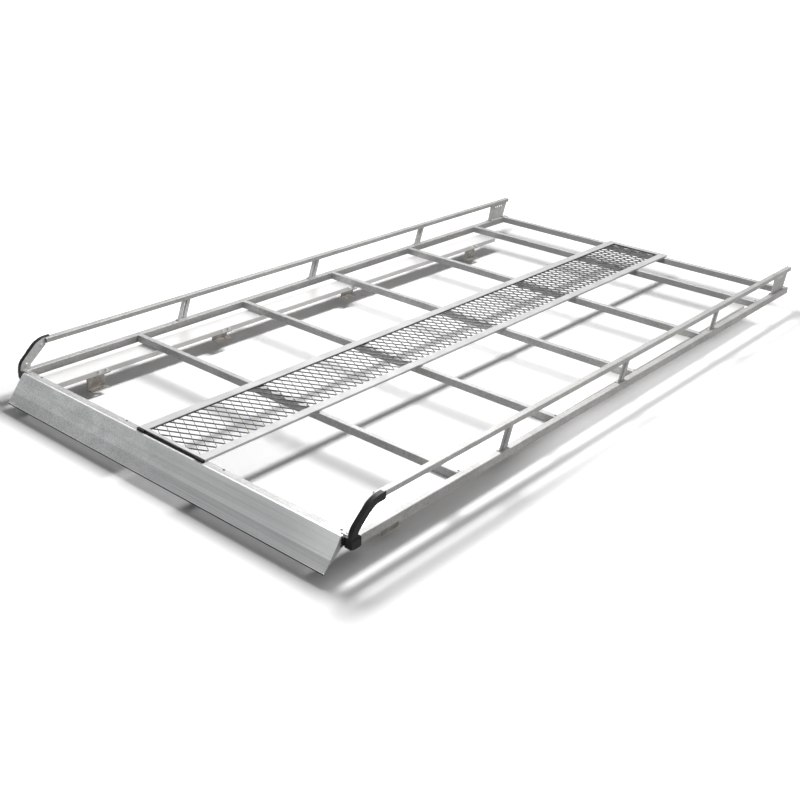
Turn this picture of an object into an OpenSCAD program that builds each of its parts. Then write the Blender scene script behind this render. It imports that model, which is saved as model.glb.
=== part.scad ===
// Van roof rack: a tube deck with side guard rails, a wind deflector and an
// expanded metal walkway, carried on two base rails with pressed feet.
// +Y runs to the rear of the van, +X to its right side, +Z up. The origin is
// on the ground plane of the feet, at the middle of the rack's outline.

/* [Deck] */
// Overall width over the two side rails
rack_w = 1480; // [1300:5:1700]
// Front edge of the deck to the front face of the first crossbar
first_bay = 467; // [420:1:600]
// Spacing of the crossbars, front face to front face
bay = 500; // [440:5:600]
// Last crossbar to the rear bar, front face to front face
rear_bay = 250; // [200:5:400]
// Length of the side rails behind the rear bar
rail_tail = 8; // [4:1:30]

/* [Deck tubes] */
// Height of the side rails, crossbars and front bar
deck_h = 27; // [22:0.5:36]
// Width of a side rail
side_w = 23; // [20:0.5:30]
// Width of a crossbar
cross_w = 20; // [16:0.5:30]
// Width of the front bar
front_w = 23; // [21:0.5:30]
// Wall of the square tubes
tube_wall = 1.5; // [1.2:0.1:2.5]
// Outer corner radius of the square tubes
tube_r = 2.5; // [1.5:0.1:3.5]
// Thickness of the plugs in the rear ends of the rails
plug_t = 4; // [2:0.5:6]

/* [Guard rails] */
// Width of a guard rail
guard_w = 22; // [18:0.5:26]
// Height of a guard rail
guard_h = 17; // [14:0.5:22]
// Clear height between a side rail and its guard rail
guard_gap = 73.5; // [66:0.5:100]
// How far a guard rail stops short of its side rail at the rear
guard_setback = 4; // [0:1:12]

/* [Uprights] */
// Width of an upright along the rail
upright_w = 40; // [34:1:60]
// Sheet thickness of the uprights and rear plates
sheet_t = 2.5; // [2:0.1:4]
// How far the top of an upright lies behind its foot
upright_rake = 26; // [10:1:40]
// Front edge of the deck to the first upright
upright_first = 655; // [560:1:760]
// Spacing of the uprights
upright_pitch = 684; // [600:1:760]
// Width of the pressed rib of an upright
rib_w = 14; // [10:0.5:18]
// Depth of the pressed rib of an upright
rib_d = 3; // [2:0.1:4]
// Width of the slot in the pressed rib
slot_w = 4; // [2:0.5:6]

/* [Rear plates] */
// Width of a rear plate at its foot
plate_foot_w = 120; // [100:1:130]
// Width of a rear plate under the guard rail
plate_top_w = 133; // [120:1:136]
// How far the rear foot corner lies in front of the rail's end
plate_inset = 30; // [22:1:60]
// How far the front edge of a rear plate leans to the rear
plate_lean = 15; // [5:1:30]
// Diameter of the holes near the top of a rear plate
plate_hole_d = 9; // [6:0.5:12]
// Spacing of the holes near the top of a rear plate
plate_hole_pitch = 15; // [14:0.5:24]

/* [End caps and front posts] */
// Front face of an end cap, behind the front edge of the deck
cap_front = 3; // [2:0.5:6]
// Wall of the moulded end caps
cap_wall = 3.5; // [2.5:0.1:4]
// Width of an end cap's curved arm, seen from the side
cap_arm = 22; // [18:0.5:24]
// Outer radius of the lower bend of an end cap
cap_r_low = 50; // [40:1:60]
// Outer radius of the upper bend of an end cap
cap_r_high = 81; // [60:1:90]
// Slope of the straight part of an end cap, in degrees
cap_slope = 42; // [36:1:50]
// Length of the lower boss that grips the side rail
boss_len = 35; // [28:1:50]
// Length of the upper sleeve over the guard rail
sleeve_len = 24; // [16:1:40]
// Clearance between a front post and its end cap
cap_clear = 0.3; // [0.2:0.1:0.8]
// Distance from the rack's side to the inner face of a front post
post_inset = 14.5; // [13.5:0.5:16]
// Width of a front post at its foot
post_foot_w = 36; // [30:0.5:40]

/* [Wind deflector] */
// Width of the deflector plate, over its rolled edge
deflector_w = 107; // [90:1:112]
// Slope of the deflector plate below the horizontal, in degrees
deflector_slope = 53; // [45:1:55]
// Sheet thickness of the deflector
deflector_t = 2.5; // [2:0.1:3.5]
// Depth of the flat lip along the top of the deflector
deflector_lip = 7; // [5.5:0.5:12]
// Height of the flange that lies against the front bar
deflector_flange = 24; // [18:1:26]
// Radius of the rolled lower edge
roll_r = 2; // [1.8:0.1:3]
// Distance from the rack's side to the deflector's end
deflector_end_gap = 32; // [28:1:60]
// Depth of the end gussets below the deck top
gusset_h = 33; // [28:1:50]
// Thickness of the rubber trim round the rolled edge
trim_t = 1.3; // [1:0.1:2.5]

/* [Walkway] */
// Width of the walkway over its side members
walk_w = 296; // [260:1:340]
// Distance of the walkway's middle to the right of the rack's middle
walk_offset = 22; // [-60:0.5:60]
// Width of a walkway side member
walk_side_w = 33; // [20:1:40]
// Width of the member across the front end
walk_front_w = 12; // [9:0.5:20]
// Width of the member across the rear end
walk_rear_w = 28; // [10:0.5:36]
// Length of the walkway behind the rear bar
walk_tail = 11; // [0:1:12]
// Height of the walkway members
walk_h = 8; // [6:0.5:12]
// Sheet thickness of the walkway members
walk_wall = 1.5; // [1.2:0.1:2]
// Width of the ribbed strip in front of the walkway
strip_w = 8; // [6:0.5:10]
// Height of the ribbed strip
strip_h = 3; // [2.5:0.5:6]
// Spacing of the strip's ribs
strip_pitch = 6.5; // [5:0.5:10]
// Diamond length of the expanded metal, across the walkway
diamond_long = 60; // [50:0.5:80]
// Diamond width of the expanded metal, along the walkway
diamond_short = 31.5; // [26:0.5:40]
// Width of the flat strands between the diamonds
strand_w = 3.8; // [2.5:0.1:4.2]
// Thickness of the strands
strand_t = 1.5; // [1:0.1:2]
// How far the strands are turned up out of the sheet, in degrees
strand_lean = 68; // [50:1:80]

/* [Base rails] */
// Distance from the rack's side to a base rail's inner face at its front end
base_inset = 125; // [120:1:200]
// How far each base rail closes in towards the rear
base_toe = 22; // [0:1:40]
// Width of a base rail
base_w = 82; // [70:1:90]
// Height of a base rail
base_h = 19; // [15:0.5:28]
// Wall of a base rail
base_wall = 2.5; // [2:0.1:4]
// Distance of a base rail's front end from the front edge of the deck
base_start = 9; // [8:1:16]
// Length of the last crossbar's seat on a base rail
base_seat = 4; // [2:1:16]

/* [Feet] */
// Front edge of the deck to the first foot
foot_1 = 175; // [120:1:220]
// Front edge of the deck to the second foot
foot_2 = 718; // [620:1:800]
// Front edge of the deck to the third foot
foot_3 = 1406; // [1300:1:1500]
// Front edge of the deck to the fourth foot
foot_4 = 2241; // [2000:1:2350]
// Depth of the end feet below the deck top
foot_depth = 88; // [88:1:120]
// How much shorter the two middle feet are
foot_crown = 24; // [10:1:30]
// Length of a foot's legs along the rail
foot_len = 70; // [50:1:90]
// Length of a foot's saddle along the rail
saddle_len = 95; // [92:1:120]
// Sheet thickness of the feet
foot_t = 3; // [2:0.1:4]
// Width of a foot's bolting flange beside its leg
foot_flange = 22; // [20:1:40]
// Diameter of the bolt hole in a foot's flange
foot_hole_d = 11; // [6.5:0.1:13]
// Front edge of a foot to its bolt hole
foot_hole_y = 47; // [15:1:48]
// Corner radius of a foot's outer leg
foot_corner = 9; // [5:0.5:12]

/* [Hidden] */

right = 1;
left = -1;
eps = 0.01;
$fn = 64;

half_w = rack_w / 2;
rail_in = half_w - side_w;
crossbar_count = 5;
function crossbar_y(i) = first_bay + (i - 1) * bay;
rear_bar_y = crossbar_y(crossbar_count) + rear_bay;
rail_end = rear_bar_y + cross_w + rail_tail;
front_bar_y = deflector_lip;

// The deflector plate runs down and forwards from the front edge of the deck.
plate_run = deflector_w - roll_r;
down = [-cos(deflector_slope), -sin(deflector_slope)];
inward = [sin(deflector_slope), -cos(deflector_slope)];
roll_centre = plate_run * down + deflector_t / 2 * inward;
deflector_end = half_w - deflector_end_gap;

// The whole rack stands on its end feet, with its outline centred on Y.
trim_gap = 0.1;
trim_r = roll_r + trim_gap + trim_t;
front_reach = roll_centre[0] - trim_r;
y_shift = -(front_reach + rail_end + plug_t) / 2;
deck_z = foot_depth;

guard_bottom = guard_gap;
guard_top = guard_gap + guard_h;
guard_in = half_w - guard_w;
guard_end = rail_end - guard_setback;

// An end cap's outer outline: up, round the lower bend, along the slope and
// round the upper bend onto the guard rail.
cap_skin = 2;
bend_parts = 10;
cap_top = guard_top + cap_skin;
cap_turn = 90 - cap_slope;
low_centre = [cap_front + cap_r_low, 0];
low_end = low_centre + cap_r_low * [-cos(cap_turn), sin(cap_turn)];
high_start_z = cap_top - cap_r_high * (1 - cos(cap_slope));
cap_run = (high_start_z - low_end[1]) / sin(cap_slope);
high_start = low_end + cap_run * [cos(cap_slope), sin(cap_slope)];
high_centre = high_start + cap_r_high * [sin(cap_slope), -cos(cap_slope)];
sleeve_lap = 7;
guard_start = high_centre[0] - sleeve_lap;
sleeve_end = guard_start + sleeve_len;
side_start = cap_front + cap_wall;

walk_front = front_bar_y + strip_w + 1;
walk_left = walk_offset - walk_w / 2;
walk_right = walk_offset + walk_w / 2;
mesh_left = walk_left + walk_side_w;
mesh_right = walk_right - walk_side_w;
mesh_front = walk_front + walk_front_w;
walk_rear = rear_bar_y + cross_w + walk_tail;

// The expanded metal runs under the members, up to their outer walls. One of
// its junctions is placed here, and it is parted between rows of junctions near
// the second and the fourth crossbar.
row_pitch = diamond_short / 2;
mesh_h = strand_w * sin(strand_lean) + strand_t * cos(strand_lean);
mesh_edge = 3;
mesh_edge_t = 1.5;
mesh_junction = [walk_offset - 12, mesh_front + 5.5];
mesh_y0 = walk_front + walk_wall;
mesh_y1 = walk_rear - walk_wall;
function mesh_seam(y) =
    mesh_junction[1] + row_pitch * (round((y - mesh_junction[1]) / row_pitch) + 0.5);
mesh_seams = [mesh_y0, mesh_seam(crossbar_y(2)), mesh_seam(crossbar_y(4)), mesh_y1];

base_z = -deck_h;
base_in = half_w - base_inset;
base_end = crossbar_y(crossbar_count) + base_seat;
base_len = base_end - base_start;
base_angle = atan(base_toe / base_len);
saddle_z = base_z - base_h;
foot_places = [foot_1, foot_2, foot_3, foot_4];
foot_depths = [foot_depth, foot_depth - foot_crown, foot_depth - foot_crown, foot_depth];

galvanised = [0.72, 0.73, 0.73];
aluminium = [0.78, 0.79, 0.80];
foot_steel = [0.42, 0.39, 0.36];
black_plastic = [0.09, 0.09, 0.09];

// Places the deck's own frame, whose origin is the middle of the deck's front
// edge at the top of the side rails, in the part's frame.
module in_frame() {
    translate([0, y_shift, deck_z]) children();
}

module on_side(side) {
    if (side == right) children();
    else mirror([1, 0, 0]) children();
}

// Extrudes an outline drawn in Y and Z from x0 to x1.
module along_x(x0, x1) {
    translate([x0, 0, 0]) rotate([90, 0, 90]) linear_extrude(x1 - x0) children();
}

// Extrudes an outline drawn in X and Z from y0 to y1.
module along_y(y0, y1) {
    translate([0, y1, 0]) rotate([90, 0, 0]) linear_extrude(y1 - y0) children();
}

// Extrudes an outline drawn in X and Y from z0 to z1.
module along_z(z0, z1) {
    translate([0, 0, z0]) linear_extrude(z1 - z0) children();
}

module rounded_rect(x0, y0, w, h, r) {
    translate([x0 + r, y0]) square([w - 2 * r, h]);
    translate([x0, y0 + r]) square([w, h - 2 * r]);
    for (x = [x0 + r, x0 + w - r], y = [y0 + r, y0 + h - r])
        translate([x, y]) circle(r);
}

module tube_outline(x0, y0, w, h, wall, r) {
    difference() {
        rounded_rect(x0, y0, w, h, r);
        rounded_rect(x0 + wall, y0 + wall, w - 2 * wall, h - 2 * wall, max(r - wall, 0.3));
    }
}

module deck_tube(y0, w) {
    color(galvanised)
        along_x(-rail_in, rail_in) tube_outline(y0, -deck_h, w, deck_h, tube_wall, tube_r);
}

module crossbar(i) {
    deck_tube(crossbar_y(i), cross_w);
}

module side_rail() {
    color(galvanised)
        along_y(side_start, rail_end)
            tube_outline(rail_in, -deck_h, side_w, deck_h, tube_wall, tube_r);
}

module guard_rail() {
    color(galvanised)
        along_y(guard_start, guard_end)
            tube_outline(guard_in, guard_bottom, guard_w, guard_h, tube_wall, tube_r);
}

module rail_plug(x0, z0, w, h, y_end) {
    spigot_len = 12;
    inset = tube_wall + 0.2;
    color(black_plastic) {
        along_y(y_end, y_end + plug_t) rounded_rect(x0, z0, w, h, tube_r);
        along_y(y_end - spigot_len, y_end)
            rounded_rect(x0 + inset, z0 + inset, w - 2 * inset, h - 2 * inset, 0.8);
    }
}

module rail_plugs() {
    for (side = [left, right]) on_side(side) {
        rail_plug(rail_in, -deck_h, side_w, deck_h, rail_end);
        rail_plug(guard_in, guard_bottom, guard_w, guard_h, guard_end);
    }
}

// A raked outline in Y and Z between two heights, given its front edge and
// width at the foot and under the guard rail.
module raked_outline(foot_y, foot_w, top_y, top_w, z0, z1) {
    lean = (top_y - foot_y) / guard_gap;
    spread = (top_y + top_w - foot_y - foot_w) / guard_gap;
    polygon([
        [foot_y + lean * z0, z0], [foot_y + foot_w + spread * z0, z0],
        [foot_y + foot_w + spread * z1, z1], [foot_y + lean * z1, z1]
    ]);
}

// A foot pad that lies on the side rail, under a pressed upright or plate.
module rail_pad(y0, length) {
    pad_edge = 1;
    along_y(y0, y0 + length)
        translate([rail_in + pad_edge, 0]) square([side_w - 2 * pad_edge, sheet_t]);
}

module upright(i) {
    y0 = upright_first + (i - 1) * upright_pitch;
    mid_x = half_w - guard_w / 2;
    rib_y = y0 + (upright_w - rib_w) / 2;
    web_w = rib_w - 2 * sheet_t;
    slot_y = y0 + (upright_w - slot_w) / 2;
    slot_end = 12;
    color(galvanised) {
        rail_pad(y0, upright_w);
        difference() {
            union() {
                along_x(mid_x - sheet_t, mid_x)
                    raked_outline(y0, upright_w, y0 + upright_rake, upright_w, sheet_t, guard_gap);
                along_x(mid_x - eps, mid_x + rib_d)
                    raked_outline(rib_y, rib_w, rib_y + upright_rake, rib_w, sheet_t, guard_gap);
            }
            along_x(mid_x - sheet_t - eps, mid_x + rib_d - sheet_t)
                raked_outline(rib_y + sheet_t, web_w, rib_y + sheet_t + upright_rake, web_w,
                    sheet_t, guard_gap);
            along_x(mid_x - sheet_t, mid_x + rib_d + eps)
                raked_outline(slot_y, slot_w, slot_y + upright_rake, slot_w,
                    slot_end, guard_gap - slot_end);
        }
    }
}

module rear_plate() {
    foot_y = rail_end - plate_inset - plate_foot_w;
    mid_x = half_w - guard_w / 2;
    hole_z = guard_gap - 13;
    hole_count = 4;
    first_hole = foot_y + plate_lean + (plate_top_w - (hole_count - 1) * plate_hole_pitch) / 2;
    color(galvanised) {
        rail_pad(foot_y, plate_foot_w);
        difference() {
            along_x(mid_x - sheet_t, mid_x)
                raked_outline(foot_y, plate_foot_w, foot_y + plate_lean, plate_top_w,
                    sheet_t, guard_gap);
            for (k = [0 : hole_count - 1])
                along_x(mid_x - sheet_t - eps, mid_x + eps)
                    translate([first_hole + k * plate_hole_pitch, hole_z])
                        circle(d = plate_hole_d);
        }
    }
}

// The edge of an end cap's outline at a depth under its outer edge, as far as
// y_end: the lower bend, the slope, the upper bend and a level run.
function bend_point(centre, r, a) = centre + r * [-cos(a), sin(a)];
function last_turn(r, y_end) = 90 - asin(max(0, high_centre[0] - y_end) / r);
function cap_edge(depth, y_end, first = 0) = concat(
    [for (k = [0 : bend_parts])
        bend_point(low_centre, cap_r_low - depth, first + (cap_turn - first) * k / bend_parts)],
    high_edge(depth, y_end)
);
function high_edge(depth, y_end) = concat(
    [for (k = [0 : bend_parts])
        bend_point(high_centre, cap_r_high - depth,
            cap_turn + (last_turn(cap_r_high - depth, y_end) - cap_turn) * k / bend_parts)],
    y_end > high_centre[0] ? [[y_end, cap_top - depth]] : []
);
screw_depth = 17;
screw_places = [bend_point(low_centre, cap_r_low - screw_depth, 36),
    bend_point(high_centre, cap_r_high - screw_depth, 69)];

function reversed(points) = [for (k = [len(points) - 1 : -1 : 0]) points[k]];

module end_cap() {
    side_out = half_w + cap_wall - 0.5;
    arm_out = side_out - 1.5;
    wall_x = half_w - post_inset + sheet_t + cap_clear;
    floor_z = -deck_h - cap_wall;
    floor_end = cap_front + boss_len - 4;
    corner = 4;
    boss_end = cap_front + boss_len;
    hook_x = half_w - 9;
    rear_wall = 2.5;
    arm_first = 18;
    sleeve_front = guard_start - sleeve_lap;
    sleeve_floor = guard_bottom - 4.5;
    sleeve_top_end = sleeve_end - 6;
    tab_h = 24;
    screw_r = 4.5;
    color(black_plastic) {
        // The outer side wall of the arm and the sleeve
        along_x(half_w - eps, arm_out) polygon(concat(
            [[boss_end, -1.5], [boss_end, -corner], [cap_front, -corner]],
            cap_edge(0, sleeve_end),
            [[sleeve_end, sleeve_floor + corner], [sleeve_end - corner, sleeve_floor],
                [sleeve_front, sleeve_floor]],
            reversed(cap_edge(cap_arm, sleeve_front, arm_first))
        ));
        // The thicker side of the sleeve, down to the middle of the slope
        along_x(arm_out - eps, side_out) polygon(concat(
            [low_end + cap_run / 2 * [cos(cap_slope), sin(cap_slope)]],
            high_edge(0, sleeve_end),
            [[sleeve_end, sleeve_floor + corner], [sleeve_end - corner, sleeve_floor],
                [sleeve_front, sleeve_floor]],
            reversed(high_edge(cap_arm, sleeve_front))
        ));
        // The thicker side of the boss
        along_x(half_w - eps, side_out) polygon([
            [boss_end, -3], [boss_end, floor_z + corner], [boss_end - corner, floor_z],
            [cap_front + corner, floor_z], [cap_front, floor_z + corner], [cap_front, -3]
        ]);
        // The front wall over the side rail's end and the floor under the rail
        along_x(rail_in, half_w) {
            translate([cap_front, floor_z]) square([cap_wall, -floor_z]);
            translate([cap_front, floor_z]) square([floor_end - cap_front, cap_wall]);
        }
        // The front wall of the arm and the top wall of the sleeve
        along_x(wall_x, half_w) polygon(concat(
            [[cap_front, -eps]],
            cap_edge(0, sleeve_top_end),
            [[sleeve_top_end, guard_top], [guard_start - cap_clear, guard_top]],
            reversed(cap_edge(cap_wall, guard_start - cap_clear)),
            [[cap_front + cap_wall, -eps]]
        ));
        // The rear wall of the arm
        along_x(wall_x, half_w) polygon(concat(
            cap_edge(cap_arm - rear_wall, sleeve_front, arm_first),
            reversed(cap_edge(cap_arm, sleeve_front, arm_first))
        ));
        // The two bosses for the screws of the front post
        along_x(wall_x, half_w) for (place = screw_places) translate(place) circle(screw_r);
        // The hook under the guard rail
        along_x(hook_x, half_w)
            translate([sleeve_front, sleeve_floor])
                square([sleeve_end - corner - sleeve_front, guard_bottom - sleeve_floor]);
        // The tab that covers the ends of the front bar and the deflector's lip
        along_x(deflector_end, rail_in + eps)
            translate([0, -tab_h]) square([front_bar_y, tab_h]);
    }
}

// A front post: a flat web with a tongue inside the guard rail and a foot tab
// on the front bar.
module front_post() {
    web_x = half_w - post_inset;
    gap = 1;
    rear_y = guard_start - cap_clear;
    lobe_z = guard_bottom - 6;
    tongue_z = guard_bottom + tube_wall + cap_clear;
    tongue_h = guard_h - 2 * tube_wall - 2 * cap_clear;
    tongue_len = 20;
    knee = [cap_front + post_foot_w + 3, 15];
    tab_y = front_bar_y + 3;
    tab_len = 18;
    tab_reach = 28;
    color(galvanised) {
        along_x(web_x, web_x + sheet_t) {
            polygon(concat(
                [[cap_front + gap, 0]],
                cap_edge(gap, rear_y),
                [[rear_y, lobe_z], [rear_y - 5, lobe_z - 4], knee, [cap_front + post_foot_w, 0]]
            ));
            translate([rear_y - eps, tongue_z]) square([tongue_len, tongue_h]);
        }
        along_x(web_x - tab_reach, web_x + eps)
            translate([tab_y, 0]) square([tab_len, sheet_t]);
    }
}

module wind_deflector() {
    ridge_w = 1.8;
    ridge_h = 0.5;
    ridge_places = [0.30, 0.62, 0.78];
    groove_y = 0.8;
    groove_w = 1.4;
    groove_d = 1.2;
    color(aluminium)
        along_x(-deflector_end, deflector_end) {
            rotate(180 + deflector_slope) {
                square([plate_run, deflector_t]);
                for (k = ridge_places)
                    translate([k * plate_run, -ridge_h]) square([ridge_w, ridge_h + eps]);
            }
            translate(roll_centre) circle(roll_r);
            difference() {
                translate([0, -deflector_t]) square([deflector_lip, deflector_t]);
                translate([groove_y, -groove_d]) square([groove_w, groove_d + eps]);
            }
            translate([deflector_lip - deflector_t, -deflector_flange])
                square([deflector_t, deflector_flange]);
        }
}

// The rubber trim wraps the rolled edge from the front of the plate round to
// the back of the roll.
module deflector_trim() {
    first = 150;
    last = 320;
    step = 10;
    inner_r = roll_r + trim_gap;
    color(black_plastic)
        along_x(-deflector_end, deflector_end) polygon(concat(
            [for (a = [first : step : last]) roll_centre + trim_r * [cos(a), sin(a)]],
            [for (a = [last : -step : first]) roll_centre + inner_r * [cos(a), sin(a)]]
        ));
}

module deflector_gusset() {
    back_y = deflector_lip - deflector_t;
    edge_start = 12;
    edge_end = plate_run - 5;
    back = deflector_t * inward;
    top = edge_start * down + back;
    tip = edge_end * down + back;
    color(aluminium)
        along_x(deflector_end - sheet_t, deflector_end)
            polygon([top, tip, [back_y, -gusset_h], [back_y, top[1]]]);
}

module front_bar() {
    deck_tube(front_bar_y, front_w);
}

// The outline of a walkway member: an angle whose outer wall stands on the deck
// and whose flange covers the edge of the expanded metal.
module member_outline(w) {
    square([walk_wall, walk_h]);
    translate([0, walk_h - walk_wall]) square([w, walk_wall]);
}

module walkway_side(x_out, side) {
    color(aluminium)
        translate([x_out, 0, 0]) mirror([side == left ? 0 : 1, 0, 0])
            along_y(walk_front, walk_rear) member_outline(walk_side_w);
}

module walkway_end_front() {
    color(aluminium)
        along_x(mesh_left, mesh_right)
            translate([walk_front, 0]) member_outline(walk_front_w);
}

module walkway_end_rear() {
    color(aluminium)
        along_x(mesh_left, mesh_right)
            translate([walk_rear, 0]) mirror([1, 0]) member_outline(walk_rear_w);
}

// A ribbed strip across the front of the walkway, with plugs in front of the
// side members.
module walkway_strip() {
    base_t = 1.6;
    rib_t = 2.4;
    plug_r = 2;
    y0 = front_bar_y + 1;
    ribs = floor((walk_w - 2 * walk_side_w) / strip_pitch);
    first = walk_offset - (ribs - 1) * strip_pitch / 2;
    color(black_plastic) {
        along_z(0, base_t) translate([walk_left, y0]) square([walk_w, strip_w]);
        for (x = [walk_left, walk_right - walk_side_w])
            along_y(y0, y0 + strip_w) rounded_rect(x, 0, walk_side_w, walk_h, plug_r);
        for (k = [0 : ribs - 1])
            along_z(0, strip_h)
                translate([first + k * strip_pitch - rib_t / 2, y0]) square([rib_t, strip_w]);
    }
}

// Expanded metal between two seams: two crossing families of flat strands,
// trimmed to the walkway, and a flat edge along its borders.
module walkway_mesh(i) {
    x0 = walk_left + walk_wall;
    x1 = walk_right - walk_wall;
    y0 = mesh_seams[i - 1];
    y1 = mesh_seams[i];
    slope = diamond_short / diamond_long;
    rise = (x1 - x0) * slope;
    spare = strand_w;
    strand_len = norm([x1 - x0, rise]) + 2 * spare;
    color(galvanised) {
        intersection() {
            translate([x0, y0, -1]) cube([x1 - x0, y1 - y0, mesh_h + 2]);
            for (side = [left, right]) {
                start = mesh_junction[1] - side * slope * (mesh_junction[0] - x0);
                low = side == right ? y0 - rise : y0;
                high = side == right ? y1 : y1 + rise;
                for (k = [ceil((low - start) / diamond_short)
                        : floor((high - start) / diamond_short)])
                    translate([x0, start + k * diamond_short, mesh_h / 2])
                        rotate([0, 0, side * atan(slope)]) rotate([-strand_lean, 0, 0])
                            translate([-spare, -strand_w / 2, -strand_t / 2])
                                cube([strand_len, strand_w, strand_t]);
            }
        }
        along_z(0, mesh_edge_t) {
            for (x = [x0, x1 - mesh_edge]) translate([x, y0]) square([mesh_edge, y1 - y0]);
            if (i == 1) translate([x0, y0]) square([x1 - x0, mesh_edge]);
            if (i == 3) translate([x0, y1 - mesh_edge]) square([x1 - x0, mesh_edge]);
        }
    }
}

// Places what is drawn beside a base rail: X runs outwards from its inner
// face, Y to the rear from the deck's front edge.
module at_base_rail(side) {
    on_side(side)
        translate([base_in, base_start, 0]) rotate(base_angle) translate([0, -base_start, 0])
            children();
}

module base_rail(side) {
    at_base_rail(side)
        color(galvanised)
            along_y(base_start, base_end) difference() {
                translate([0, base_z - base_h]) square([base_w, base_h]);
                translate([base_wall, base_z - base_h - eps])
                    square([base_w - 2 * base_wall, base_h - base_wall + eps]);
            }
}

module foot(side, i) {
    y0 = foot_places[i - 1];
    z0 = -foot_depths[i - 1];
    lug_start = saddle_len - 57;
    lug_top = base_z - base_wall - 0.5;
    leg_gap = 4;
    outer_x = base_w - foot_t;
    at_base_rail(side)
        color(foot_steel) {
            // The saddle under the base rail and its lug behind the rail's lip
            along_z(saddle_z - foot_t, saddle_z)
                translate([0, y0]) square([base_w, saddle_len]);
            along_x(base_wall, base_wall + foot_t)
                translate([y0 + lug_start, saddle_z - eps])
                    square([saddle_len - lug_start, lug_top - saddle_z + eps]);
            // The inner leg and the bolting flange
            along_x(0, foot_t)
                translate([y0, z0]) square([foot_len, saddle_z - z0]);
            difference() {
                along_z(z0, z0 + foot_t)
                    translate([-foot_flange, y0]) square([foot_flange + foot_t, foot_len]);
                translate([-foot_flange / 2, y0 + foot_hole_y, z0 - 1])
                    cylinder(d = foot_hole_d, h = foot_t + 2);
            }
            // The outer leg, with its rounded rear corner
            along_x(outer_x, base_w) {
                translate([y0, z0 + leg_gap + foot_corner])
                    square([foot_len, saddle_z - z0 - leg_gap - foot_corner]);
                translate([y0, z0 + leg_gap])
                    square([foot_len - foot_corner, foot_corner + eps]);
                translate([y0 + foot_len - foot_corner, z0 + leg_gap + foot_corner])
                    intersection() {
                        circle(foot_corner);
                        translate([-eps, -foot_corner]) square(foot_corner + eps);
                    }
            }
        }
}

in_frame() front_bar();
in_frame() wind_deflector();
in_frame() deflector_trim();
in_frame() on_side(left) deflector_gusset();  // deflector_gusset_left
in_frame() deflector_gusset();  // deflector_gusset_right
in_frame() on_side(left) side_rail();  // side_rail_left
in_frame() side_rail();  // side_rail_right
in_frame() on_side(left) guard_rail();  // guard_rail_left
in_frame() guard_rail();  // guard_rail_right
in_frame() rail_plugs();
for (i = [1 : 3]) {
    in_frame() on_side(left) upright(i);
    in_frame() upright(i);
}
in_frame() on_side(left) rear_plate();  // rear_plate_left
in_frame() rear_plate();  // rear_plate_right
in_frame() on_side(left) front_post();  // front_post_left
in_frame() front_post();  // front_post_right
in_frame() on_side(left) end_cap();  // end_cap_left
in_frame() end_cap();  // end_cap_right
for (i = [1 : crossbar_count])
    in_frame() crossbar(i);
in_frame() deck_tube(rear_bar_y, cross_w);  // rear_bar
in_frame() walkway_side(walk_left, left);  // walkway_side_left
in_frame() walkway_side(walk_right, right);  // walkway_side_right
in_frame() walkway_end_front();
in_frame() walkway_end_rear();
in_frame() walkway_strip();
for (i = [1 : 3])
    in_frame() walkway_mesh(i);
in_frame() base_rail(left);  // base_rail_left
in_frame() base_rail(right);  // base_rail_right
for (i = [1 : 4]) {
    in_frame() foot(left, i);
    in_frame() foot(right, i);
}
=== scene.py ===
"""Roof rack for a van: finishes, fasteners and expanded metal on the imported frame.

Places given to on_deck, and the sizes in constants without MM, are in millimetres.
Strengths of light have no unit: 1 is what turns a white surface white.
"""
import math

import bpy
from mathutils import Matrix, Vector


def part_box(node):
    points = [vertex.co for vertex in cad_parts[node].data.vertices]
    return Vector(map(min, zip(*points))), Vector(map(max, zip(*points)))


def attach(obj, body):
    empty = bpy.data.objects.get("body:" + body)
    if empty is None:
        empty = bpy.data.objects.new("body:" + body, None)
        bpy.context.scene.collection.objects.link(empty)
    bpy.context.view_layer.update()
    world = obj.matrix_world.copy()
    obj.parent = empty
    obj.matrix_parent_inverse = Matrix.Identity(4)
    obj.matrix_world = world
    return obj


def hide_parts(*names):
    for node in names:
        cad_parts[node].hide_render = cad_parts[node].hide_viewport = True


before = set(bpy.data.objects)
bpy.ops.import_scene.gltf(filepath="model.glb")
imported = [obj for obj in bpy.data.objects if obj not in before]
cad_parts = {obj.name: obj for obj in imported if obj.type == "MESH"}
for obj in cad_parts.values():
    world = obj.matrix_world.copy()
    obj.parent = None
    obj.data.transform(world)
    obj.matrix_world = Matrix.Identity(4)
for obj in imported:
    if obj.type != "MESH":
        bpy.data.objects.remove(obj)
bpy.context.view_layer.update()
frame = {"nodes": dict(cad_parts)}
nodes = frame["nodes"]

MM = 0.001
BAR_FROM_DECK_FRONT = 7 * MM
front_bar_low, front_bar_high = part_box("front_bar")
DECK_FRONT = front_bar_low[1] - BAR_FROM_DECK_FRONT
DECK_TOP = front_bar_high[2]

# Camera, solved from straight edges of the photo
CAMERA_PLACE = (2299.7, -1741.8, 1500.1)
CAMERA_YAW, CAMERA_PITCH, CAMERA_ROLL = 39.16, 25.32, 2.53
FOCAL_PIXELS = 1099.2146
FRAME_PIXELS = 800
SENSOR = 36

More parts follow.
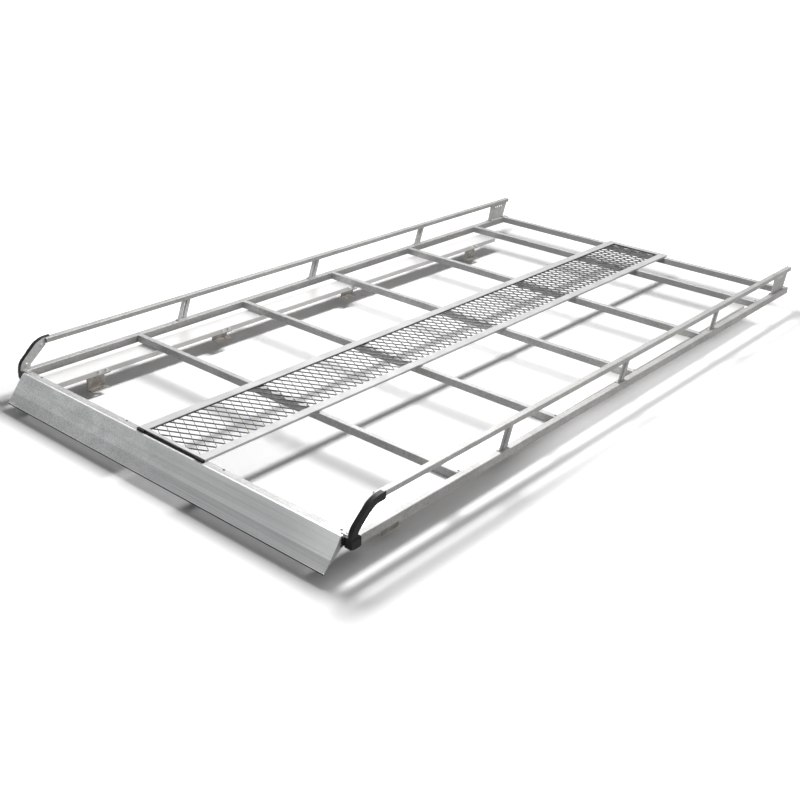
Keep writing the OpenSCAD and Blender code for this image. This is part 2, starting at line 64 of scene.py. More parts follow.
# Fasteners
RIVETS_X, RIVETS_Y = (-637, -194, 240, 688), 24
POST_FACE_X, POST_FACE_SCREWS = 725.5, ((26.3, 19.4), (89.1, 71.2))
POST_TAB_SCREW = (712, 21)
GUSSET_BOLT_Y, GUSSET_BOLT_Z = 1.5, -29
FOOT_BOLTS_ALONG = (50, 80)
BASE_LIP_X, BASE_TOE, BASE_RUN = 615, 22, 2462
PLATE_BOLTS_X, PLATE_BOLTS_Y = 721.5, (2606, 2704)
FLANGE_TOP = 2.5
WALKWAY_BOLTS = {"crossbar_2": (14,), "crossbar_5": (-21, 110)}
BAR_SCREWS = ((174.5, -6), (712.5, 3))

# Expanded metal
MESH_LONG_WAY, MESH_SHORT_WAY = 60 * MM, 31.5 * MM
MESH_JUNCTION = (10, 33.5)
STRAND_WIDTH, STRAND_THICKNESS = 4.5 * MM, 1.7 * MM
STRAND_LEAN = math.radians(68)
BOND = 0.7 * MM
BOND_REACH, BOND_WIDENING = 1.4, 1.2

# Lamps
LAMP = 1.1
LAMP_X, LAMP_Y, LAMP_Z = -190, 1450, 1570
LAMP_SPACING = 225
LAMP_RADIUS = 0.22

# Room
ROOM_TOP, ROOM_AROUND = 0.12, 0.1
ROOM_RIGHT, ROOM_REAR = 0.5, 0.15
MIRROR_FRONT, MIRROR_REAR, MIRROR_TOP = 0.15, 0.7, 1.3

# Floor
FLOOR = -0.025
FLOOR_SIZE = 80
WHITE_PAST_SIDE, WHITE_PAST_END = 0.86, 1.45
BOUNCE = 0.4
MIRRORED_FLOOR = 0.9
GLOW_AWAY = 0.9
GLOW_IN_FRONT = 0.2
GLOW_BESIDE_FRONT, GLOW_BESIDE_REAR = 0.16, 0.28
GLOW_UNDER_MESH, GLOW_UNDER_WALKWAY_SIDE = 0.2, 0.3
SHADE_BELOW_DEFLECTOR = 0.66

# Darkest and lightest tone of each finish
RAIL_TONES = (0.27, 0.267, 0.26), (0.62, 0.615, 0.60)
BAR_TONES = (0.28, 0.28, 0.277), (0.66, 0.66, 0.655)
PLATE_TONES = (0.30, 0.30, 0.293), (0.58, 0.58, 0.57)
# Base rails: the dark tone is painted shade on the sides, the light one a painted highlight on the
# top
BASE_RAIL_SHADED_AND_LIT_TONES = (0.50, 0.49, 0.47), (0.88, 0.88, 0.87)
SHEET_TONES = (0.517, 0.53, 0.533), (0.965, 0.985, 0.985)
WALKWAY_TONES = (0.43, 0.43, 0.43), (0.58, 0.58, 0.575)
FOOT_TONES = (0.14, 0.131, 0.12), (0.40, 0.376, 0.343)
PLASTIC_TONES = (0.004, 0.004, 0.0044), (0.018, 0.018, 0.019)
RUBBER_TONES = (0.010, 0.010, 0.011), (0.035, 0.035, 0.036)
STRAND_TONES = (0.06, 0.06, 0.062), (0.20, 0.20, 0.20)
BRIGHT_BOLT_TONES = (0.42, 0.42, 0.43), (0.76, 0.76, 0.76)
DARK_BOLT_TONES = (0.03, 0.03, 0.032), (0.10, 0.10, 0.10)
# Dark zinc tone of the painted shade on the sides of the rails and bars
PAINTED_SHADE_ZINC = (0.11, 0.11, 0.109)

# How deep the grain and the specks of a finish are
RELIEF = 0.2 * MM


def on_deck(x, y, z):
    """A point given in millimetres from the middle of the deck's front edge."""
    return Vector((x * MM, DECK_FRONT + y * MM, DECK_TOP + z * MM))


# Camera

def set_camera():
    yaw = math.radians(CAMERA_YAW)
    pitch = math.radians(CAMERA_PITCH)
    roll = math.radians(CAMERA_ROLL)
    flat = math.cos(pitch)
    ahead = Vector((-math.sin(yaw) * flat, math.cos(yaw) * flat, -math.sin(pitch)))
    level = Vector((math.cos(yaw), math.sin(yaw), 0))
    above = level.cross(ahead)
    right = math.cos(roll) * level + math.sin(roll) * above
    up = -math.sin(roll) * level + math.cos(roll) * above
    turn = Matrix((right, up, -ahead)).transposed().to_4x4()
    data = bpy.data.cameras.new("camera")
    data.sensor_width = SENSOR
    data.lens = FOCAL_PIXELS / FRAME_PIXELS * SENSOR
    data.shift_x = -0.5 / FRAME_PIXELS
    data.shift_y = 0.5 / FRAME_PIXELS
    data.clip_end = 200
    camera = bpy.data.objects.new("camera", data)
    camera.matrix_world = Matrix.Translation(on_deck(*CAMERA_PLACE)) @ turn
    bpy.context.scene.collection.objects.link(camera)
    bpy.context.scene.camera = camera


# Shader maths

class Tone:
    """A value in a node tree. Arithmetic on it adds Math nodes."""

    def __init__(self, nodes, socket):
        self.nodes = nodes
        self.socket = socket

    def math(self, operation, *values):
        inputs = dict(enumerate((self,) + values))
        return self.nodes.add("ShaderNodeMath", 0, {"operation": operation}, inputs)

    def __add__(self, other):
        return self.math("ADD", other)

    def __mul__(self, other):
        return self.math("MULTIPLY", other)

    def __sub__(self, other):
        return self.math("SUBTRACT", other)

    def __rsub__(self, other):
        inputs = {0: other, 1: self}
        return self.nodes.add("ShaderNodeMath", 0, {"operation": "SUBTRACT"}, inputs)

    __radd__ = __add__
    __rmul__ = __mul__

    def size(self):
        """The value without its sign."""
        return self.math("ABSOLUTE")

    def larger(self, other):
        return self.math("MAXIMUM", other)

    def between(self, low, high):
        """0 below low, 1 above high, and smooth between them."""
        settings = {"interpolation_type": "SMOOTHSTEP"}
        inputs = {0: self, 1: low, 2: high, 3: 0.0, 4: 1.0}
        return self.nodes.add("ShaderNodeMapRange", 0, settings, inputs)

    def within(self, low, low_full, high_full, high):
        """1 from low_full to high_full, and smooth to 0 at low and at high."""
        return self.between(low, low_full) * (1 - self.between(high_full, high))

    def drawn_out(self):
        """A noise's usual range drawn out to 0 and 1."""
        return self.between(0.3, 0.7)


class NodeTree:
    """A node tree and the one method that adds to it."""

    def __init__(self, tree):
        self.tree = tree

    def add(self, kind, output, settings=None, inputs=None):
        """Adds a node, sets it up, feeds its sockets values or links, and returns an output."""
        node = self.tree.nodes.new(kind)
        for name, value in (settings or {}).items():
            setattr(node, name, value)
        for name, value in (inputs or {}).items():
            self.feed(node.inputs[name], value)
        return Tone(self, node.outputs[output])

    def feed(self, socket, value):
        if isinstance(value, Tone):
            self.tree.links.new(value.socket, socket)
        else:
            socket.default_value = value

    def axes(self, vector):
        """The three numbers of a vector."""
        return [self.add("ShaderNodeSeparateXYZ", axis, {}, {0: vector}) for axis in "XYZ"]

    def ray(self, kind):
        """1 for rays of one kind, 0 for the rest."""
        return self.add("ShaderNodeLightPath", "Is %s Ray" % kind)


class Finish(NodeTree):
    """One procedural finish: its node tree and the shader that it feeds."""

    def __init__(self, name, constants):
        self.material = bpy.data.materials.new(name)
        self.material.use_nodes = True
        super().__init__(self.material.node_tree)
        self.shader = self.tree.nodes["Principled BSDF"]
        self.place = self.add("ShaderNodeTexCoord", "Object")
        for socket, value in constants.items():
            self.shader.inputs[socket].default_value = value

    def stretched(self, x, y, z):
        """Object coordinates with the pattern's size along each axis set apart."""
        inputs = {"Vector": self.place, "Scale": (x, y, z)}
        return self.add("ShaderNodeMapping", 0, {"vector_type": "POINT"}, inputs)

    def noise(self, where, scale, detail, roughness=0.55):
        inputs = {"Vector": where, "Scale": scale, "Detail": detail, "Roughness": roughness}
        return self.add("ShaderNodeTexNoise", 0, {}, inputs)

    def spangle(self, where, scale):
        """Crystals of a zinc coat, each with a shade of its own."""
        inputs = {"Vector": where, "Scale": scale}
        cell = self.add("ShaderNodeTexVoronoi", "Color", {"feature": "F1"}, inputs)
        return self.add("ShaderNodeSeparateColor", 0, {}, {0: cell})

    def mix(self, amount, first, second):
        """A colour between two. Each is a colour with its alpha, or a colour from the tree."""
        inputs = {0: amount, 6: first, 7: second}
        return self.add("ShaderNodeMix", 2, {"data_type": "RGBA"}, inputs)

    def shade(self, amount, tones):
        """A colour between the dark and the light tone."""
        dark, light = tones
        return self.mix(amount, dark + (1,), light + (1,))

    def wear(self, base_color, roughness, height=None, strength=0.1):
        """Sets colour and roughness, and a fine relief where the finish has one."""
        self.feed(self.shader.inputs["Base Color"], base_color)
        self.feed(self.shader.inputs["Roughness"], roughness)
        if height is not None:
            inputs = {"Height": height, "Distance": RELIEF, "Strength": strength}
            self.feed(self.shader.inputs["Normal"], self.add("ShaderNodeBump", 0, {}, inputs))
        return self.material


def zinc(name, along, tones, tops=(), shade_fade=None, shade_share=0.0):
    """Galvanised tube: crystals of the zinc, a faint grain along the tube and cloudy patches.

    The sides of the tubes that have these tops are darkened toward a dark zinc tone, a painted
    shade, by the share that the last argument gives. It sets in between the two places on an
    axis that the argument before it gives.
    """
    finish = Finish(name, {"Metallic": 0.3, "Specular IOR Level": 0.5})
    grain_size = [900, 900, 900]
    grain_size["XYZ".index(along)] = 12
    grain = finish.noise(finish.stretched(*grain_size), 1.0, 3.0)
    cloud = finish.noise(finish.place, 9.0, 3.0)
    speck = finish.noise(finish.place, 520.0, 2.0)
    crystal = finish.spangle(finish.place, 150.0)
    patches = crystal * 0.30 + cloud.drawn_out() * 0.25
    tone = patches + grain.drawn_out() * 0.2 + speck.drawn_out() * 0.25
    rough = 0.50 + crystal * 0.10 + speck * 0.08
    color = finish.shade(tone, tones)
    # Painted shade: below the given tops, the sides are mixed toward a dark zinc tone along one
    # axis.
    if tops:
        places = finish.axes(finish.place)
        side = 1.0
        for top in tops:
            near_top = places[2].within(top - 2.5 * MM, top - 1.5 * MM, top + MM, top + 2 * MM)
            side = side - near_top
        axis, start, end = shade_fade
        amount = side * places["XYZ".index(axis)].between(start, end) * shade_share
        color = finish.mix(amount, color, PAINTED_SHADE_ZINC + (1,))
    return finish.wear(color, rough, speck + grain, 0.12)


def base_rail_zinc():
    """Base rails: a painted highlight on the top and painted shade on the sides, with specks and
    clouds.
    """
    finish = Finish("zinc_base_rail", {"Metallic": 0.4, "Specular IOR Level": 0.5})
    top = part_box("base_rail_left")[1][2]
    # Painted light and shade: the top is painted light, the sides below it dark.
    up = finish.axes(finish.place)[2].between(top - 2.6 * MM, top - 2.2 * MM)
    speck = finish.noise(finish.place, 420.0, 2.0)
    cloud = finish.noise(finish.stretched(20, 3, 20), 1.0, 3.0)
    worn = speck.drawn_out() * 0.08 + cloud.drawn_out() * 0.06
    return finish.wear(finish.shade(up * 0.9 + worn, BASE_RAIL_SHADED_AND_LIT_TONES), 0.3 + speck * 0.1)


def brushed_aluminium():
    """Mill finish sheet of the deflector.

    It has fine lines along its length and is mottled toward the left end. A painted highlight
    lightens the right end, and a painted shade darkens its lower part, below the ridge, most at
    the right end.
    """
    finish = Finish("mill_aluminium", {"Metallic": 0.5, "Specular IOR Level": 0.5})
    line = finish.noise(finish.stretched(1.6, 520, 520), 1.0, 4.0)
    broad_line = finish.noise(finish.stretched(0.7, 60, 60), 1.0, 3.0)
    cloud = finish.noise(finish.stretched(9, 20, 20), 1.0, 5.0, 0.65)
    speck = finish.noise(finish.place, 240.0, 3.0, 0.7)
    x, _, z = finish.axes(finish.place)
    ridge = DECK_TOP - 54 * MM
    left = 1 - x.between(-0.35, 0.25)
    # Painted highlight at the right end, painted shade below the ridge
    highlight_right_end = x.between(0.50, 0.71)
    shade_below_ridge = 1 - z.between(ridge, ridge + MM)
    mottle = cloud.between(0.38, 0.64) * 0.4 + speck.between(0.42, 0.58) * 0.6
    lines = line.drawn_out() * 0.3 + broad_line.drawn_out() * 0.25
    pattern = lines * (1 - left * 0.6) + mottle * (left * 0.6 + 0.12)
    tone = pattern + highlight_right_end * 0.5 - shade_below_ridge * (0.25 + highlight_right_end * 0.3) + 0.08
    rough = 0.34 + cloud * 0.12 + line * 0.06
    return finish.wear(finish.shade(tone, SHEET_TONES), rough, line + speck, 0.15)


def walkway_aluminium():
    """The walkway's members: a pale, smooth sheet with a grain along the rack."""
    finish = Finish("walkway_sheet", {"Metallic": 0.4, "Specular IOR Level": 0.5})
    line = finish.noise(finish.stretched(500, 9, 500), 1.0, 3.0)
    cloud = finish.noise(finish.place, 14.0, 4.0)
    tone = line.drawn_out() * 0.4 + cloud.drawn_out() * 0.6
    return finish.wear(finish.shade(tone, WALKWAY_TONES), 0.36 + cloud * 0.15, line)


def dull_foot_steel():
    """Pressed feet: a yellowish passivated zinc with darker, blotchy film."""
    finish = Finish("passivated_steel", {"Metallic": 0.5, "Specular IOR Level": 0.5})
    blotch = finish.noise(finish.place, 38.0, 5.0, 0.62)
    speck = finish.noise(finish.place, 420.0, 2.0)
    tone = blotch.between(0.35, 0.68) * 0.7 + speck * 0.3
    return finish.wear(finish.shade(tone, FOOT_TONES), 0.4 + blotch * 0.2, speck, 0.15)


def grained_plastic():
    """Moulded black end caps: a fine grain with scuffed, greyer high spots."""
    finish = Finish("grained_plastic", {"Metallic": 0.0, "Specular IOR Level": 0.2})
    grain = finish.noise(finish.place, 900.0, 2.0)
    scuff = finish.noise(finish.place, 45.0, 5.0, 0.7)
    tone = scuff.between(0.45, 0.75) * 0.7 + grain * 0.3
    return finish.wear(finish.shade(tone, PLASTIC_TONES), 0.42 + scuff * 0.15, grain, 0.25)


def edge_rubber():
    """Rubber of the deflector's edge, black with a dusty bloom, also on the painted shade strips.
    """
    finish = Finish("edge_rubber", {"Metallic": 0.0, "Specular IOR Level": 0.4})
    bloom = finish.noise(finish.stretched(12, 60, 60), 1.0, 4.0, 0.6)
    return finish.wear(finish.shade(bloom.between(0.4, 0.7), RUBBER_TONES), 0.5 + bloom * 0.2)


def strand_steel():
    """Expanded metal: zinc on strands that were torn and pulled, so duller in patches."""
    finish = Finish("strand_steel", {"Metallic": 0.55, "Specular IOR Level": 0.5})
    cloud = finish.noise(finish.place, 30.0, 4.0)
    speck = finish.noise(finish.place, 700.0, 2.0)
    tone = cloud.between(0.35, 0.65) * 0.6 + speck * 0.4
    return finish.wear(finish.shade(tone, STRAND_TONES), 0.38 + speck * 0.15)


def plated_bolt():
    """Bright zinc on bolt heads, with a fine turned mottle."""
    finish = Finish("plated_bolt", {"Metallic": 0.8, "Specular IOR Level": 0.5})
    speck = finish.noise(finish.place, 900.0, 3.0)
    return finish.wear(finish.shade(speck, BRIGHT_BOLT_TONES), 0.28 + speck * 0.15, speck)


def dark_bolt():
    """Blackened screw heads."""
    finish = Finish("dark_bolt", {"Metallic": 0.6, "Specular IOR Level": 0.5})
    speck = finish.noise(finish.place, 700.0, 3.0)
    return finish.wear(finish.shade(speck, DARK_BOLT_TONES), 0.35 + speck * 0.2, speck)


# Mesh helpers

def clear_selection():
    bpy.ops.object.select_all(action="DESELECT")


def apply_place():
    bpy.ops.object.transform_apply(location=True, rotation=True, scale=True)


def round_edges(piece, width):
    """Bevels every edge of the active piece."""
    bevel = piece.modifiers.new("round_edges", "BEVEL")
    bevel.width = width
    bevel.segments = 2
    bpy.ops.object.modifier_apply(modifier=bevel.name)


def settle(piece, finish):
    """Puts a finished piece's place in its mesh, and lets it ride on the rack in its finish."""
    clear_selection()
    piece.select_set(True)
    bpy.context.view_layer.objects.active = piece
    apply_place()
    piece.data.materials.clear()
    piece.data.materials.append(finish)
    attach(piece, "root")
    return piece


def joined(pieces, name):
    clear_selection()
    for piece in pieces:
        piece.select_set(True)
    bpy.context.view_layer.objects.active = pieces[0]
    bpy.ops.object.join()
    whole = bpy.context.view_layer.objects.active
    whole.name = name
    return whole


def copies(pattern, places, name):
    """A copy of the pattern at each place, with its own mesh, joined to one piece."""
    made = []
    for place in places:
        twin = pattern.copy()
        twin.data = pattern.data.copy()
        bpy.context.scene.collection.objects.link(twin)
        twin.data.transform(place)
        made.append(twin)
    bpy.data.objects.remove(pattern)
    return joined(made, name)


def facing(point, direction):
    """A place at a point, turned so that its Z axis looks along a direction."""
    turn = Vector(direction).to_track_quat("Z", "Y")
    return Matrix.Translation(point) @ turn.to_matrix().to_4x4()


def hex_head(across, height):
    """A hexagon bolt head on its washer, standing on Z = 0 at the origin."""
    clear_selection()
    washer = 1.2 * MM
    bpy.ops.mesh.primitive_cylinder_add(
        vertices=24, radius=across * 0.72, depth=washer, location=(0, 0, washer / 2))
    disc = bpy.context.object
    bpy.ops.mesh.primitive_cylinder_add(
        vertices=6, radius=across / math.sqrt(3), depth=height,
        location=(0, 0, washer + height / 2))
    head = bpy.context.object
    round_edges(head, 0.5 * MM)
    head = joined([head, disc], "hex_head")
    apply_place()
    return head


def round_head(radius, height, slot_width=0.0):
    """A domed screw head on Z = 0 at the origin, with a driver slot if it has one."""
    clear_selection()
    bpy.ops.mesh.primitive_uv_sphere_add(
        segments=24, ring_count=12, radius=radius, location=(0, 0, 0))
    head = bpy.context.object
    bpy.ops.object.mode_set(mode="EDIT")
    bpy.ops.mesh.select_all(action="SELECT")
    bpy.ops.mesh.bisect(
        plane_co=(0, 0, 0.01 * MM), plane_no=(0, 0, 1), clear_inner=True, use_fill=True)
    bpy.ops.object.mode_set(mode="OBJECT")
    head.scale = (1, 1, height / radius)
    apply_place()
    if slot_width:
        bpy.ops.mesh.primitive_cube_add(
            size=1, location=(0, 0, height), scale=(radius * 2.2, slot_width, height * 0.9))
        cutter = bpy.context.object
        cut = head.modifiers.new("driver_slot", "BOOLEAN")
        cut.operation = "DIFFERENCE"
        cut.object = cutter
        bpy.context.view_layer.objects.active = head
        bpy.ops.object.modifier_apply(modifier=cut.name)
        bpy.data.objects.remove(cutter)
    return head


# Fasteners

UPWARD = (0, 0, 1)


def deck_rivets(finish):
    """Blind rivets that hold the deflector's flange and the front bar together."""
    spots = [facing(on_deck(x, RIVETS_Y, 0), UPWARD) for x in RIVETS_X]
    head = round_head(4 * MM, 1.6 * MM)
    return settle(copies(head, spots, "deck_rivets"), finish)


def post_screws(finish):
    """Two screws on each front post's inner face, and one down through its foot tab."""
    tab_x, tab_y = POST_TAB_SCREW
    spots = []
    for side in (-1, 1):
        for y, z in POST_FACE_SCREWS:
            spots.append(facing(on_deck(side * POST_FACE_X, y, z), (-side, 0, 0)))
        spots.append(facing(on_deck(side * tab_x, tab_y, FLANGE_TOP), UPWARD))
    head = round_head(4.6 * MM, 2.6 * MM, 1.1 * MM)
    return settle(copies(head, spots, "post_screws"), finish)


def gusset_bolts(finish):
    """One small bolt on the outer face of each gusset at the deflector's ends."""
    spots = []
    for side, word in ((-1, "left"), (1, "right")):
        low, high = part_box("deflector_gusset_" + word)
        place = on_deck(0, GUSSET_BOLT_Y, GUSSET_BOLT_Z)
        place.x = high[0] if side > 0 else low[0]
        spots.append(facing(place, (side, 0, 0)))
    head = round_head(4.2 * MM, 3 * MM)
    return settle(copies(head, spots, "gusset_bolts"), finish)


def foot_bolts(finish):
    """Two bolts through each foot's lug and the base rail's inner lip."""
    below_top = 9 * MM
    spots = []
    for side, word in ((-1, "left"), (1, "right")):
        rail_low, rail_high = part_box("base_rail_" + word)
        toe = math.atan(BASE_TOE / BASE_RUN) * side
        for number in (1, 2, 3, 4):
            foot_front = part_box("foot_%s_%d" % (word, number))[0][1]
            for along in FOOT_BOLTS_ALONG:
                y = foot_front + along * MM
                run = (y - rail_low[1]) / (rail_high[1] - rail_low[1])
                x = side * (BASE_LIP_X - BASE_TOE * run) * MM
                place = Vector((x, y, rail_high[2] - below_top))
                spots.append(facing(place, (-side * math.cos(toe), 0, 0)))
    head = hex_head(10 * MM, 4.5 * MM)
    return settle(copies(head, spots, "foot_bolts"), finish)


def plate_bolts(finish):
    """Bolts that hold the rear plates' foot flanges on the side rails."""
    spots = []
    for side in (-1, 1):
        for y in PLATE_BOLTS_Y:
            spots.append(facing(on_deck(side * PLATE_BOLTS_X, y, FLANGE_TOP), UPWARD))
    head = round_head(4.5 * MM, 2.6 * MM)
    return settle(copies(head, spots, "plate_bolts"), finish)


def walkway_bolts(finish):
    """Bolts that clamp the expanded metal to the crossbars."""
    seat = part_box("walkway_mesh_1")[1][2] - 0.5 * MM
    spots = []
    for bar, places in WALKWAY_BOLTS.items():
        low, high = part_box(bar)
        for x in places:
            spots.append(facing(Vector((x * MM, (low[1] + high[1]) / 2, seat)), UPWARD))
    head = hex_head(7 * MM, 2.6 * MM)
    return settle(copies(head, spots, "walkway_bolts"), finish)


def bar_screws(finish):
    """Small dark screws on each crossbar, beside the walkway and next to the right side rail."""
    spots = []
    for number in (1, 2, 3, 4, 5):
        low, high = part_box("crossbar_%d" % number)
        for x, past_middle in BAR_SCREWS:
            y = (low[1] + high[1]) / 2 + past_middle * MM
            spots.append(facing(Vector((x * MM, y, high[2])), UPWARD))
    head = round_head(2.9 * MM, 2 * MM)
    return settle(copies(head, spots, "bar_screws"), finish)


# Expanded metal

def bar_between(start, end, width, tilt):
    """A flat strand from start to end, turned about its own length by tilt."""
    along = end - start
    clear_selection()
    bpy.ops.mesh.primitive_cube_add(size=1)
    strand = bpy.context.object
    heading = math.atan2(along.y, along.x)
    turn = Matrix.Rotation(heading, 4, "Z") @ Matrix.Rotation(tilt, 4, "X")
    shape = Matrix.Diagonal((along.length, width, STRAND_THICKNESS, 1))
    strand.data.transform(Matrix.Translation((start + end) / 2) @ turn @ shape)
    return strand


def one_repeat():
    """A bond and its two strands, twice, which the expanded metal repeats both ways."""
    half = Vector((MESH_LONG_WAY / 2, MESH_SHORT_WAY / 2, 0))
    bond = Vector((BOND, 0, 0))
    reach = bond * BOND_REACH
    strands = []
    for cell in (Vector((0, 0, 0)), half):
        wide = STRAND_WIDTH * BOND_WIDENING
        strands.append(bar_between(cell - reach, cell + reach, wide, -STRAND_LEAN))
        for side in (-1, 1):
            start = cell + bond * side
            end = cell + Vector((side * half.x, half.y, 0)) - bond * side
            strands.append(bar_between(start, end, STRAND_WIDTH, -side * STRAND_LEAN))
    return joined(strands, "expanded_metal")


def expanded_metal(finish):
    """The slit and stretched sheet, arrayed over the walkway and trimmed to its frame."""
    low = Vector(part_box("walkway_mesh_1")[0])
    high = Vector(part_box("walkway_mesh_3")[1])
    junction = on_deck(*MESH_JUNCTION, 0)
    junction.z = (low.z + high.z) / 2
    lattice = one_repeat()
    left = math.ceil((junction.x - low.x) / MESH_LONG_WAY) + 1
    columns = left + math.ceil((high.x - junction.x) / MESH_LONG_WAY) + 1
    rows = math.ceil((high.y - junction.y) / MESH_SHORT_WAY) + 3
    for count, step in ((columns, (MESH_LONG_WAY, 0, 0)), (rows, (0, MESH_SHORT_WAY, 0))):
        array = lattice.modifiers.new("repeat", "ARRAY")
        array.count = count
        array.use_relative_offset = False
        array.use_constant_offset = True
        array.constant_offset_displace = step
        bpy.context.view_layer.objects.active = lattice
        bpy.ops.object.modifier_apply(modifier=array.name)
    first = junction - Vector((left * MESH_LONG_WAY, 2 * MESH_SHORT_WAY, 0))
    lattice.data.transform(Matrix.Translation(first))
    bpy.ops.object.mode_set(mode="EDIT")
    trims = ((low, (-1, 0, 0)), (low, (0, -1, 0)), (high, (1, 0, 0)), (high, (0, 1, 0)))
    for point, outward in trims:
        bpy.ops.mesh.select_all(action="SELECT")
        bpy.ops.mesh.bisect(plane_co=point, plane_no=outward, clear_outer=True, use_fill=True)
    bpy.ops.object.mode_set(mode="OBJECT")
    settle(lattice, finish)
    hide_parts("walkway_mesh_1", "walkway_mesh_2", "walkway_mesh_3")


def walkway_shade_strips(finish):
    """Black strips on the expanded metal under the flanges' inner edges: painted shade in the
    gaps.
    """
    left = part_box("walkway_side_left")[1]
    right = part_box("walkway_side_right")[0]
    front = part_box("walkway_end_front")[1][1]
    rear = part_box("walkway_end_rear")[0][1]
    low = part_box("walkway_mesh_1")[1][2] - 0.6 * MM
    high = left[2] - 1.6 * MM
    tuck, wide, shown = 0.4 * MM, 4 * MM, 3.4 * MM
    runs = [
        ((left[0] - wide / 2, front), (left[0] + shown, rear)),
        ((right[0] + tuck, front), (right[0] + tuck + wide, rear)),
        ((left[0] - tuck, front - tuck - wide), (right[0] + tuck, front - tuck)),
        ((left[0] - tuck, rear - shown), (right[0] + tuck, rear + wide / 2)),
    ]
    strips = []
    for (x0, y0), (x1, y1) in runs:
        clear_selection()
        middle = ((x0 + x1) / 2, (y0 + y1) / 2, (low + high) / 2)
        extent = (x1 - x0, y1 - y0, high - low)
        bpy.ops.mesh.primitive_cube_add(size=1, location=middle, scale=extent)
        strip = bpy.context.object
        apply_place()
        round_edges(strip, 0.5 * MM)
        strips.append(strip)
    return settle(joined(strips, "walkway_shade_strips"), finish)


# Finishes of the frame

def dress_frame():
    """Gives each node its finish, and returns the ones that new pieces share."""
    rail_tops = (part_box("side_rail_left")[1][2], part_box("guard_rail_left")[1][2])
    # The painted shade on the tubes' sides sets in toward the left rails and toward the rear bars.
    toward_left = ("X", 0.1, -0.1)
    toward_rear = ("Y", 0.2, 0.95)
    rail_zinc = zinc("zinc_along_rack", "Y", RAIL_TONES, rail_tops, toward_left, 0.4)
    bar_zinc = zinc("zinc_across_rack", "X", BAR_TONES, (DECK_TOP,), toward_rear, 0.7)
    plate_zinc = zinc("zinc_upright", "Z", PLATE_TONES)
    rubber = edge_rubber()
    strand = strand_steel()
    by_name = [
        (("front_bar", "crossbar", "rear_bar"), bar_zinc),
        (("side_rail", "guard_rail"), rail_zinc),
        (("base_rail",), base_rail_zinc()),
        (("upright", "rear_plate", "front_post", "deflector_gusset"), plate_zinc),
        (("wind_deflector",), brushed_aluminium()),
        (("deflector_trim",), rubber),
        (("walkway_side", "walkway_end"), walkway_aluminium()),
        (("walkway_mesh",), strand),
        (("foot",), dull_foot_steel()),
        (("end_cap", "rail_plugs", "walkway_strip"), grained_plastic()),
    ]
    for name, node in nodes.items():
        for starts, material in by_name:
            if name.startswith(starts):
                for slot in node.material_slots:
                    slot.material = material
    return strand, rubber


# Floor and light

def shadow_edge(x):
    """Where on the floor the lamps throw the shadow of the deck's plane at x."""
    spread = (LAMP_Z * MM + DECK_TOP - FLOOR) / (LAMP_Z * MM)
    return LAMP_X * MM + (x - LAMP_X * MM) * spread


def floor_glow(x, y):
    """What turns the floor white away from the rack, and lightens some of its shadows."""
    past_end = y.size()
    past_rack = (x.size() - WHITE_PAST_SIDE).larger(past_end - WHITE_PAST_END)
    away = past_rack.between(0.0, 0.6) * GLOW_AWAY
    in_front = past_end.between(1.44, 1.50) * GLOW_IN_FRONT
    rearward = y.between(-0.9, -0.1)
    past_rail = (x + rearward * 0.07).between(0.68, 0.78)
    beside = past_rail * (rearward * GLOW_BESIDE_REAR + GLOW_BESIDE_FRONT)
    side_low, side_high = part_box("walkway_side_left")
    outer = shadow_edge(side_low[0])
    left = shadow_edge(side_high[0])
    right = shadow_edge(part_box("walkway_side_right")[0][0])
    in_side = x.within(outer - 0.02, outer + 0.01, left - 0.01, left + 0.02)
    in_mesh = x.within(left - 0.02, left + 0.02, right - 0.02, right + 0.02)
    walkway = in_mesh * GLOW_UNDER_MESH + in_side * GLOW_UNDER_WALKWAY_SIDE
    return away.larger(in_front.larger(beside.larger(walkway)))


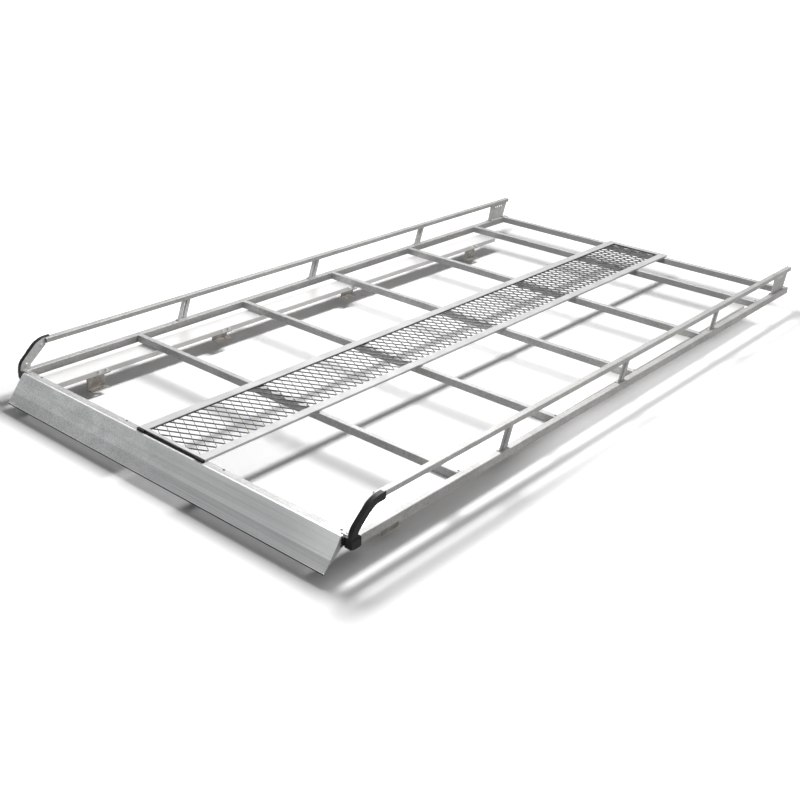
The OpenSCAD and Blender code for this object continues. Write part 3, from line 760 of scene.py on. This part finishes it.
def lay_floor():
    """A white floor a little below the feet, as the camera and the metal's mirroring see it.

    Other light meets a darker floor, so that little of it comes back up.
    """
    clear_selection()
    bpy.ops.mesh.primitive_plane_add(size=FLOOR_SIZE, location=(0, 0, FLOOR))
    floor = bpy.context.object
    floor.name = "floor"
    constants = {"Roughness": 0.9, "Specular IOR Level": 0.1, "Emission Strength": 1.0}
    paint = Finish("floor_paint", constants)
    seen = paint.ray("Camera") + paint.ray("Glossy") * MIRRORED_FLOOR
    x, y, _ = paint.axes(paint.place)
    # A painted shadow darkens the floor's colour in a band below the deflector.
    below_deflector = y.within(-1.45, -1.375, -1.28, -1.2) * (1 - x.size().between(0.6, 0.74))
    white = (seen * (1 - BOUNCE) + BOUNCE) * (1 - below_deflector * SHADE_BELOW_DEFLECTOR)
    paint.feed(paint.shader.inputs["Base Color"], white)
    paint.feed(paint.shader.inputs["Emission Color"], floor_glow(x, y) * seen)
    floor.data.materials.append(paint.material)


def hang_lamps():
    """A row of soft lamps over the middle of the rack, which keep their strength with distance."""
    places = [LAMP_Y + LAMP_SPACING * step for step in (-2, -1, 0, 1, 2)]
    for y in places:
        data = bpy.data.lights.new("lamp", "POINT")
        data.energy = 4 * math.pi ** 2 * LAMP / len(places)
        data.shadow_soft_size = LAMP_RADIUS
        data.use_nodes = True
        lamp_tree = NodeTree(data.node_tree)
        even = lamp_tree.add("ShaderNodeLightFalloff", "Constant", {}, {"Strength": 1.0})
        lamp_tree.feed(data.node_tree.nodes["Emission"].inputs["Strength"], even)
        lamp = bpy.data.objects.new("lamp", data)
        lamp.location = on_deck(LAMP_X, y, LAMP_Z)
        bpy.context.scene.collection.objects.link(lamp)


def hang_sky():
    """A white background, with a dim room for the light that the rack gathers and mirrors."""
    world = bpy.data.worlds.new("room")
    bpy.context.scene.world = world
    world.use_nodes = True
    room = NodeTree(world.node_tree)
    x, y, z = room.axes(room.add("ShaderNodeTexCoord", "Generated"))
    low = 1 - z.size()
    around = x.larger(0.0) * ROOM_RIGHT + y.larger(0.0) * ROOM_REAR + ROOM_AROUND
    gathered = low * around + ROOM_TOP
    mirrored = y.between(-0.5, 0.6) * MIRROR_REAR + z.larger(0.0) * MIRROR_TOP + MIRROR_FRONT
    glossy = room.ray("Glossy")
    level = glossy * mirrored + (1 - glossy) * gathered
    camera = room.ray("Camera")
    background = world.node_tree.nodes["Background"]
    room.feed(background.inputs["Strength"], camera + (1 - camera) * level)
    room.feed(background.inputs["Color"], (1, 1, 1, 1))


set_camera()
strand_finish, shade_strip_finish = dress_frame()
bright = plated_bolt()
dark = dark_bolt()
# Painted shade: the rivets take the dark bolt finish for the shade that falls on them.
deck_rivets(dark)
post_screws(bright)
foot_bolts(bright)
plate_bolts(dark)
gusset_bolts(dark)
walkway_bolts(bright)
bar_screws(dark)
expanded_metal(strand_finish)
# Black strips as painted shade in the gaps under the walkway's flanges
walkway_shade_strips(shade_strip_finish)
lay_floor()
hang_lamps()
hang_sky()
bpy.context.scene.view_settings.view_transform = "Standard"
